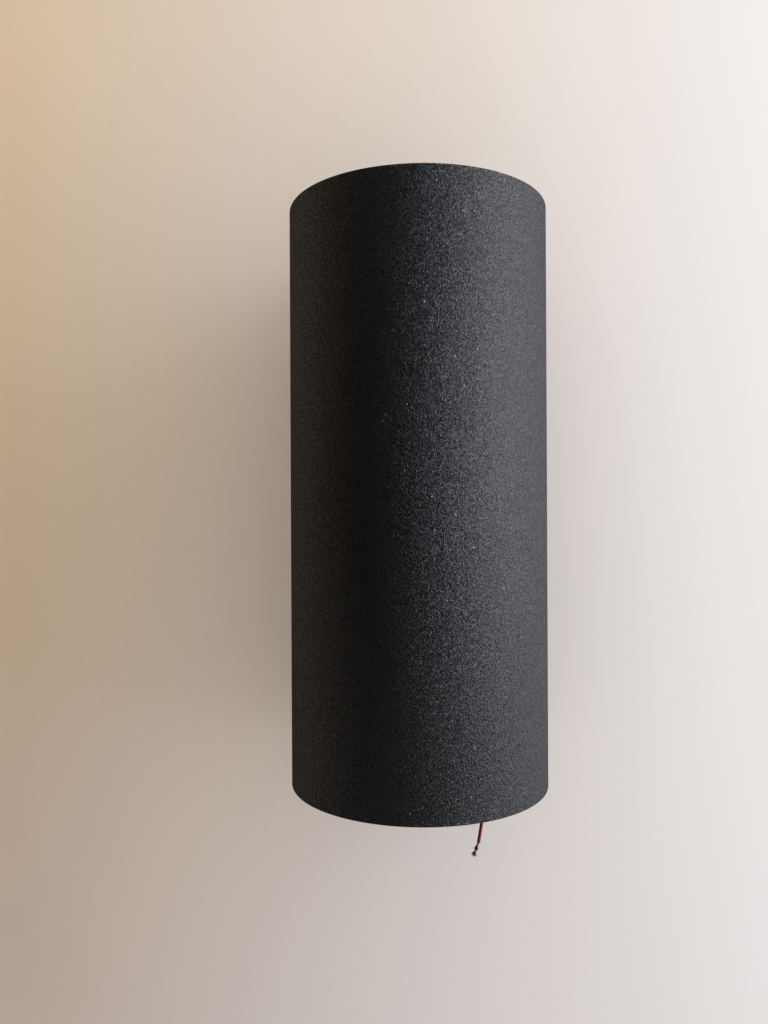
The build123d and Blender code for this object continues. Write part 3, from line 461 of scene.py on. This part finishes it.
tail_start = Vector(loose_route[-1])
tail_way = Vector((-0.36, 0, -0.933)).normalized()
tail_back = Vector((0, 1, 0))
tail_side = tail_back.cross(tail_way)
strand_radius = 0.00014
strand_line = bpy.data.curves.new("loose_lead_strands", "CURVE")
strand_line.dimensions = "3D"
# The twisted bundle up to the outer lump: how far along, how far out and the turn in degrees.
bundle = ((0.0, 0.00024, 0), (0.0006, 0.00025, 40), (0.0012, 0.00032, 80), (0.0022, 0.0004, 110),
          (0.0031, 0.0003, 140), (0.0036, 0.00018, 170), (0.0041, 0.00034, 180))
# Each strand: its place round the bundle in degrees, and how far along, aside and back it ends.
for around, along_end, aside, back in (
    (0, 0.0057, -0.0001, 0.0003), (51, 0.0053, 0.0009, 0.0004), (103, 0.0056, -0.0005, 0.0002),
    (154, 0.0046, 0.0012, -0.0003), (206, 0.0053, -0.0009, -0.0004), (257, 0.0046, -0.0012, 0.0001),
    (308, 0.0055, 0.0005, -0.0002),
):
    run = strand_line.splines.new("NURBS")
    run.points.add(len(bundle))
    for point, (along, out, turn) in zip(run.points, bundle):
        angle = math.radians(around + turn)
        off = (tail_side * math.cos(angle) + tail_back * math.sin(angle)) * out
        point.co = (*(tail_start + tail_way * along + off), 1)
    end = tail_start + tail_way * along_end + tail_side * aside + tail_back * back
    run.points[-1].co = (*end, 1)
    run.order_u = 3
    run.use_endpoint_u = True
    run.resolution_u = 6
strand_line.bevel_depth = strand_radius
strand_line.bevel_resolution = 3
strand_line.use_fill_caps = True
strand_line.materials.append(strand_metal)
strands = bpy.data.objects.new("loose_lead_strands", strand_line)
bpy.context.collection.objects.link(strands)
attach(strands, "fixture")
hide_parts("loose_lead_tail")


def bead(name, along, size, finish):
    """A lump of solder round the strands, its three sizes given across, through and along them."""
    unevenness = 0.25
    lumps_across = 3
    own_lumps = Vector((along * 1000, 0, 0))
    shape = bmesh.new()
    bmesh.ops.create_icosphere(shape, subdivisions=4, radius=0.5)
    for corner in shape.verts:
        lump = mathutils.noise.noise(corner.co * lumps_across + own_lumps)
        corner.co *= 1 + unevenness * lump
    turn = tail_way.to_track_quat("Z", "Y").to_matrix().to_4x4()
    placed = Matrix.Translation(tail_start + tail_way * along) @ turn @ Matrix.Diagonal((*size, 1))
    bmesh.ops.transform(shape, verts=shape.verts, matrix=placed)
    mesh = bpy.data.meshes.new(name)
    shape.to_mesh(mesh)
    shape.free()
    made = bpy.data.objects.new(name, mesh)
    made.data.materials.append(finish)
    bpy.context.collection.objects.link(made)
    smooth(made, angle=180)
    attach(made, "fixture")
    return made


solder_bead = bead("solder_bead", 0.0021, (0.0017, 0.0015, 0.0023), solder)
solder_tip = bead("solder_tip", 0.0045, (0.0019, 0.0016, 0.0015), solder)


# ---- Lamps ----
# Two spot lamps with twist pins, one facing up and one down: a moulded base with nickel pins, a
# ribbed aluminium shell, a driver board inside, and a light-emitting chip on a white board under a
# clear lens.

# Moulded lamp plastic: clean white with a soft even shine and a faint mould grain of 0.3 mm.
lamp_white, tree, shader, place = material("moulded_white_lamp_plastic", "EDECE7", 0.36)
eroded = add(tree, "ShaderNodeTexNoise", {"Scale": 3300, "Detail": 1}, {"Vector": place})
whites = add(tree, "ShaderNodeMix", {"data_type": "RGBA", 6: linear("E6E5DF"), 7: linear("F1F0EC")},
             {0: eroded.outputs["Fac"]})
tree.links.new(shader.inputs["Base Color"], whites.outputs[2])
moulded = add(tree, "ShaderNodeBump", {"Strength": 0.25, "Distance": 0.00003},
              {"Height": eroded.outputs["Fac"]})
tree.links.new(shader.inputs["Normal"], moulded.outputs["Normal"])

# Satin aluminium: bead blasted and clear anodised, so it is a pale grey metal with a soft fine
# grain of 0.3 mm and no lines.
satin, tree, shader, place = material("satin_anodised_aluminium", "D3D4D6", 0.38, Metallic=1)
blasted = add(tree, "ShaderNodeTexNoise", {"Scale": 3300, "Detail": 2}, {"Vector": place})
pale = add(tree, "ShaderNodeMix", {"data_type": "RGBA", 6: linear("C7C8CA"), 7: linear("DDDEDF")},
           {0: blasted.outputs["Fac"]})
tree.links.new(shader.inputs["Base Color"], pale.outputs[2])
fine = add(tree, "ShaderNodeBump", {"Strength": 0.4, "Distance": 0.00003},
           {"Height": blasted.outputs["Fac"]})
tree.links.new(shader.inputs["Normal"], fine.outputs["Normal"])

# Nickel plate over turned brass: a bright metal a shade warmer than zinc, a little duller in
# patches 0.8 mm across.
nickel, tree, shader, place = material("nickel_plated_pins", "D2CDC2", 0.2, Metallic=1)
patches = add(tree, "ShaderNodeTexNoise", {"Scale": 1200, "Detail": 2}, {"Vector": place})
dull = add(tree, "ShaderNodeMapRange", {"To Min": 0.14, "To Max": 0.3},
           {"Value": patches.outputs["Fac"]})
tree.links.new(shader.inputs["Roughness"], dull.outputs["Result"])

# Clear moulded acrylic, almost optically smooth: what lies behind shows through it, bent by its
# curves and a little softened in places 3 mm across.
acrylic, tree, shader, place = material("clear_moulded_acrylic", "FBFCFC", 0.04,
                                        Transmission_Weight=1, IOR=1.49)
ripple = add(tree, "ShaderNodeTexNoise", {"Scale": 300, "Detail": 1}, {"Vector": place})
soft = add(tree, "ShaderNodeMapRange", {"To Min": 0.02, "To Max": 0.09},
           {"Value": ripple.outputs["Fac"]})
tree.links.new(shader.inputs["Roughness"], soft.outputs["Result"])

# White solder mask over an aluminium board: glossy white lacquer, slightly raised over its tracks.
board, tree, shader, place = material("white_solder_mask", "F0F0EC", 0.28)
tracks = add(tree, "ShaderNodeTexVoronoi", {"Scale": 250, "distance": "MANHATTAN"},
             {"Vector": place})
over = add(tree, "ShaderNodeMapRange", {"From Min": 0.3, "From Max": 0.34},
           {"Value": tracks.outputs["Distance"]})
lacquer = add(tree, "ShaderNodeMix",
              {"data_type": "RGBA", 6: linear("F2F2EE"), 7: linear("E7E7E2")},
              {0: over.outputs["Result"]})
tree.links.new(shader.inputs["Base Color"], lacquer.outputs[2])
raised = add(tree, "ShaderNodeBump", {"Strength": 0.5, "Distance": 0.00003},
             {"Height": over.outputs["Result"]})
tree.links.new(shader.inputs["Normal"], raised.outputs["Normal"])

# Phosphor in silicone over blue chips: an egg-yolk yellow gel, faintly grainy.
phosphor, tree, shader, place = material("phosphor_in_silicone", "E3C24A", 0.3,
                                         Subsurface_Weight=0.3)
shader.inputs["Subsurface Radius"].default_value = (0.0008, 0.0005, 0.0002)
shader.inputs["Subsurface Scale"].default_value = 1
powder = add(tree, "ShaderNodeTexNoise", {"Scale": 4000, "Detail": 2}, {"Vector": place})
yolk = add(tree, "ShaderNodeMix", {"data_type": "RGBA", 6: linear("DDB93E"), 7: linear("EBD062")},
           {0: powder.outputs["Fac"]})
tree.links.new(shader.inputs["Base Color"], yolk.outputs[2])

# Glass-fibre board under green solder mask, with paler copper tracks 1 mm wide showing through.
fibre, tree, shader, place = material("green_solder_mask", "1E5A34", 0.3)
tracks = add(tree, "ShaderNodeTexVoronoi", {"Scale": 320, "distance": "MANHATTAN"},
             {"Vector": place})
over = add(tree, "ShaderNodeMapRange", {"From Min": 0.32, "From Max": 0.36},
           {"Value": tracks.outputs["Distance"]})
greens = add(tree, "ShaderNodeMix", {"data_type": "RGBA", 6: linear("174A2A"), 7: linear("2C7444")},
             {0: over.outputs["Result"]})
tree.links.new(shader.inputs["Base Color"], greens.outputs[2])

for end in ("upper", "lower"):
    for piece, finish in (("base", lamp_white), ("pins", nickel), ("shell", satin),
                          ("led_board", board), ("led", phosphor), ("lens", acrylic),
                          ("driver", fibre)):
        dress(finish, f"lamp_{end}_{piece}")


# ---- Room ----
# A pale wall behind the light, with the room's light painted on it, seen from the front only, and a
# plain floor well below it. A large soft lamp stands at the upper right, as a window would, and the
# room fills the rest.

room_reach = 3
floor_height = -0.6


def sheet(name, place, turn, finish):
    """A flat part of the room."""
    shape = bmesh.new()
    bmesh.ops.create_grid(shape, x_segments=1, y_segments=1, size=room_reach,
                          matrix=Matrix.Translation(place) @ Matrix.Rotation(turn, 4, "X"))
    mesh = bpy.data.meshes.new(name)
    shape.to_mesh(mesh)
    shape.free()
    made = bpy.data.objects.new(name, mesh)
    made.data.materials.append(finish)
    bpy.context.collection.objects.link(made)


# Matt emulsion, which shines nowhere. The room's light is painted on it as a glow of its own,
# warmer to the left, paler to the right and above, and plain further off.
wall_paint, tree, shader, place = material("matt_wall_paint", "5C6570", 0.9, Specular_IOR_Level=0.0,
                                           Emission_Strength=1)
at = add(tree, "ShaderNodeSeparateXYZ", {}, {"Vector": place})
across = add(tree, "ShaderNodeMapRange", {"From Min": -0.17, "From Max": 0.16},
             {"Value": at.outputs["X"]})
up = add(tree, "ShaderNodeMapRange", {"From Min": -0.22, "From Max": 0.2},
         {"Value": at.outputs["Z"]})
low = add(tree, "ShaderNodeMix", {"data_type": "RGBA", 6: linear("A99686"), 7: linear("DDD6D1")},
          {0: across.outputs["Result"]})
high = add(tree, "ShaderNodeMix", {"data_type": "RGBA", 6: linear("CEB18D"), 7: linear("EAE3DC")},
           {0: across.outputs["Result"]})
glow = add(tree, "ShaderNodeMix", {"data_type": "RGBA"},
           {0: up.outputs["Result"], 6: low.outputs[2], 7: high.outputs[2]})
away = add(tree, "ShaderNodeVectorMath", {"operation": "LENGTH"}, {0: place})
away = add(tree, "ShaderNodeMapRange", {"From Min": 0.25, "From Max": 0.6},
           {"Value": away.outputs["Value"]})
plain = add(tree, "ShaderNodeMix", {"data_type": "RGBA", 6: linear("CDC2B6"), 7: linear("E2D8CD")},
            {0: across.outputs["Result"]})
shade = add(tree, "ShaderNodeMix", {"data_type": "RGBA"},
            {0: away.outputs["Result"], 6: glow.outputs[2], 7: plain.outputs[2]})
# To the left, a painted shadow dims the glow close to the light, which stands between the window
# and the wall.
painted_shadow = add(tree, "ShaderNodeAmbientOcclusion", {"Distance": 0.2, "samples": 8})
painted_shadow = add(tree, "ShaderNodeMath", {"operation": "SUBTRACT", 0: 1.0}, {1: painted_shadow.outputs["AO"]})
left = add(tree, "ShaderNodeMath", {"operation": "SUBTRACT", 0: 1.0}, {1: across.outputs["Result"]})
near = add(tree, "ShaderNodeMath", {"operation": "SUBTRACT", 0: 1.0}, {1: away.outputs["Result"]})
left = add(tree, "ShaderNodeMath", {"operation": "MULTIPLY"},
           {0: left.outputs[0], 1: near.outputs[0]})
painted_shadow = add(tree, "ShaderNodeMath", {"operation": "MULTIPLY"},
             {0: painted_shadow.outputs[0], 1: left.outputs[0]})
open_to = add(tree, "ShaderNodeMath", {"operation": "SUBTRACT", 0: 1.0}, {1: painted_shadow.outputs[0]})
open_to = add(tree, "ShaderNodeMath", {"operation": "POWER", 1: 2.0}, {0: open_to.outputs[0]})
glow_with_painted_shadow = add(tree, "ShaderNodeVectorMath", {"operation": "SCALE"},
             {0: shade.outputs[2], "Scale": open_to.outputs[0]})
tree.links.new(shader.inputs["Emission Color"], glow_with_painted_shadow.outputs["Vector"])
lit = add(tree, "ShaderNodeMix", {"data_type": "RGBA", 6: linear("5C6570"), 7: linear("1C1D1E")},
          {0: away.outputs["Result"]})
tree.links.new(shader.inputs["Base Color"], lit.outputs[2])
# The camera, gloss and clear lenses see the wall from the front. Other light goes through it.
output = tree.nodes["Material Output"]
path = add(tree, "ShaderNodeLightPath")
seen = add(tree, "ShaderNodeMath", {"operation": "MAXIMUM"},
           {0: path.outputs["Is Camera Ray"], 1: path.outputs["Is Glossy Ray"]})
seen = add(tree, "ShaderNodeMath", {"operation": "MAXIMUM"},
           {0: seen.outputs[0], 1: path.outputs["Is Transmission Ray"]})
front = add(tree, "ShaderNodeNewGeometry")
front = add(tree, "ShaderNodeMath", {"operation": "SUBTRACT", 0: 1.0},
            {1: front.outputs["Backfacing"]})
shown = add(tree, "ShaderNodeMath", {"operation": "MULTIPLY"},
            {0: seen.outputs[0], 1: front.outputs[0]})
clear = add(tree, "ShaderNodeBsdfTransparent")
mixed = add(tree, "ShaderNodeMixShader", {},
            {0: shown.outputs[0], 1: clear.outputs[0], 2: shader.outputs[0]})
tree.links.new(output.inputs["Surface"], mixed.outputs[0])
behind_bracket = 0.0002
sheet("wall", (0, behind_bracket, 0), math.radians(90), wall_paint)

# Matt floor paint. The camera sees it pale. Gloss and clear lenses see it pale near the wall and
# dim towards the front, where little light falls on it.
floor_paint, tree, shader, place = material("matt_floor_paint", "2A2928", 0.9,
                                            Specular_IOR_Level=0.0)
shader.inputs["Emission Color"].default_value = linear("C9C1B8")
at = add(tree, "ShaderNodeSeparateXYZ", {}, {"Vector": place})
near = add(tree, "ShaderNodeMapRange", {"From Min": -0.7, "From Max": -0.1},
           {"Value": at.outputs["Y"]})
path = add(tree, "ShaderNodeLightPath")
seen = add(tree, "ShaderNodeMath", {"operation": "MAXIMUM"},
           {0: path.outputs["Is Glossy Ray"], 1: path.outputs["Is Transmission Ray"]})
seen = add(tree, "ShaderNodeMath", {"operation": "MULTIPLY"},
           {0: seen.outputs[0], 1: near.outputs["Result"]})
seen = add(tree, "ShaderNodeMath", {"operation": "MAXIMUM"},
           {0: seen.outputs[0], 1: path.outputs["Is Camera Ray"]})
tree.links.new(shader.inputs["Emission Strength"], seen.outputs[0])
sheet("floor", (0, 0, floor_height), 0, floor_paint)


def lamp(name, place, width, height, power, colour):
    """A flat soft lamp turned towards the light."""
    made = bpy.data.objects.new(name, bpy.data.lights.new(name, "AREA"))
    bpy.context.collection.objects.link(made)
    made.data.shape = "RECTANGLE"
    made.data.size = width
    made.data.size_y = height
    made.data.energy = power
    made.data.color = linear(colour)[:3]
    made.location = place
    towards = Vector((0, axis_y, 0)) - Vector(place)
    made.rotation_euler = towards.to_track_quat("-Z", "Y").to_euler()


lamp("window", place=(1.18, -0.4, 0.28), width=0.8, height=1.75, power=45, colour="F3F8FF")

# The rest of the room is lighter behind the wall light and above it. The camera sees it pale, and
# gloss and clear lenses see it pale behind the wall light and dim in front of it.
room = bpy.data.worlds.new("room")
bpy.context.scene.world = room
room.use_nodes = True
tree = room.node_tree
background = tree.nodes["Background"]
way = add(tree, "ShaderNodeTexCoord")
where = add(tree, "ShaderNodeSeparateXYZ", {}, {"Vector": way.outputs["Generated"]})
depth = add(tree, "ShaderNodeMapRange",
            {"From Min": -0.3, "From Max": 0.5, "To Min": 0.04, "To Max": 0.9},
            {"Value": where.outputs["Y"]})
height = add(tree, "ShaderNodeMapRange",
             {"From Min": -0.6, "From Max": 0.8, "To Min": 0.35, "To Max": 1.1},
             {"Value": where.outputs["Z"]})
level = add(tree, "ShaderNodeMath", {"operation": "MULTIPLY"},
            {0: depth.outputs["Result"], 1: height.outputs["Result"]})
path = add(tree, "ShaderNodeLightPath")
seen = add(tree, "ShaderNodeMath", {"operation": "MAXIMUM"},
           {0: path.outputs["Is Glossy Ray"], 1: path.outputs["Is Transmission Ray"]})
seen = add(tree, "ShaderNodeMath", {"operation": "MULTIPLY"},
           {0: seen.outputs[0], 1: depth.outputs["Result"]})
seen = add(tree, "ShaderNodeMath", {"operation": "MAXIMUM"},
           {0: seen.outputs[0], 1: path.outputs["Is Camera Ray"]})
level = add(tree, "ShaderNodeMath", {"operation": "MAXIMUM"},
            {0: level.outputs[0], 1: seen.outputs[0]})
background.inputs["Color"].default_value = linear("E2D8CD")
tree.links.new(background.inputs["Strength"], level.outputs[0])

bpy.context.scene.view_settings.view_transform = "Standard"
